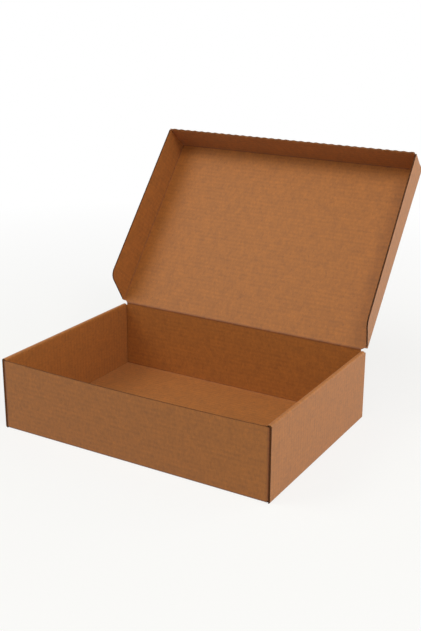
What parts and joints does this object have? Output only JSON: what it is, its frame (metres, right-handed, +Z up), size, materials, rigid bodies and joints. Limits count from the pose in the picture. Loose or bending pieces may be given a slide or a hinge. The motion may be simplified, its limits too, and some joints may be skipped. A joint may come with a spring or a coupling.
{
  "type": "shipping box",
  "caption": "Open corrugated cardboard mailing box folded from one sheet: low tray with rolled-over side walls, hinged lid whose side and wave-edged front flaps close over the outside.",
  "frame": {"origin": "middle of the tray's underside, on the surface that the box stands on", "axes": "+X along the lid's hinge, to the right seen from the front; +Y from the front wall to the hinge; +Z up"},
  "size_m": [0.4154, 0.4553, 0.3505],
  "materials": {
    "kraft_board": "matte brown kraft"
  },
  "bodies": {
    "tray": {"tray": "kraft_board"},
    "lid": {"lid": "kraft_board"},
    "left_flap": {"left_flap": "kraft_board"},
    "right_flap": {"right_flap": "kraft_board"},
    "front_flap": {"front_flap": "kraft_board"}
  },
  "joints": [
    {"name": "lid_hinge", "type": "hinge", "parent": "tray", "child": "lid", "pos_m": [0, 0.1365, 0.1003], "axis": [-1, 0, 0], "range_deg": [-128.7, 51.3]},
    {"name": "left_flap_fold", "type": "hinge", "parent": "lid", "child": "left_flap", "pos_m": [-0.2014, 0.22444, 0.21007], "axis": [0, -0.6252, -0.7804], "range_deg": [0, 86]},
    {"name": "right_flap_fold", "type": "hinge", "parent": "lid", "child": "right_flap", "pos_m": [0.2014, 0.22444, 0.21007], "axis": [0, 0.6252, 0.7804], "range_deg": [-4.5, 80.5]},
    {"name": "front_flap_fold", "type": "hinge", "parent": "lid", "child": "front_flap", "pos_m": [0, 0.31176, 0.31905], "axis": [-1, 0, 0], "range_deg": [0, 90]}
  ]
}
